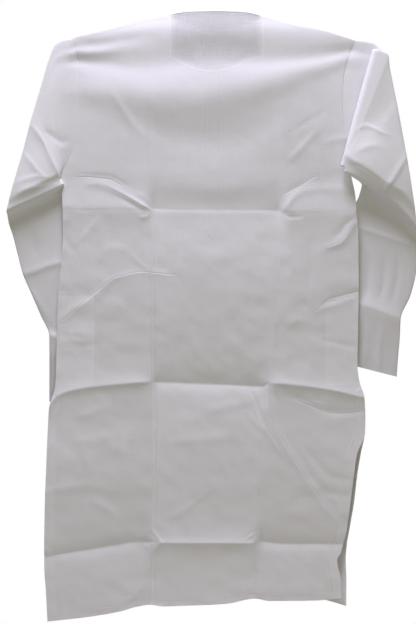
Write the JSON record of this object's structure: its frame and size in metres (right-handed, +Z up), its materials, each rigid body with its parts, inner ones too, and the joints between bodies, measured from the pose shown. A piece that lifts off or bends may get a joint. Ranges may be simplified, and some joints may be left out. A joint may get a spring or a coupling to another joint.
{
  "type": "kurta tunic",
  "caption": "Thin cotton kurta tunic hanging from its shoulders, hollow, with a scooped neck, buttoned placket, long folded sleeves and side slits",
  "frame": {"origin": "The middle of the straight line between the two places, just outside the armhole seams, where the shoulders are held up", "axes": "+Z up along the length, +X to the wearer's right sleeve, +Y from the back panel to the front panel"},
  "size_m": [0.742, 0.0536, 1.0978],
  "materials": {
    "back_panel": "plain weave cotton",
    "front_panel": "plain weave cotton",
    "sleeve_left": "plain weave cotton",
    "sleeve_right": "plain weave cotton",
    "neck_binding": "plain weave cotton",
    "placket_upper": "plain weave cotton",
    "placket_under": "plain weave cotton",
    "pocket_bag_left": "plain weave cotton",
    "pocket_bag_right": "plain weave cotton",
    "button_1": "smooth",
    "button_2": "smooth",
    "button_3": "smooth",
    "button_4": "smooth"
  },
  "bodies": {
    "root": {"back_panel": "back_panel", "front_panel": "front_panel", "sleeve_left": "sleeve_left", "sleeve_right": "sleeve_right", "neck_binding": "neck_binding", "placket_upper": "placket_upper", "placket_under": "placket_under", "pocket_bag_left": "pocket_bag_left", "pocket_bag_right": "pocket_bag_right", "button_1": "button_1", "button_2": "button_2", "button_3": "button_3", "button_4": "button_4"}
  },
  "joints": []
}
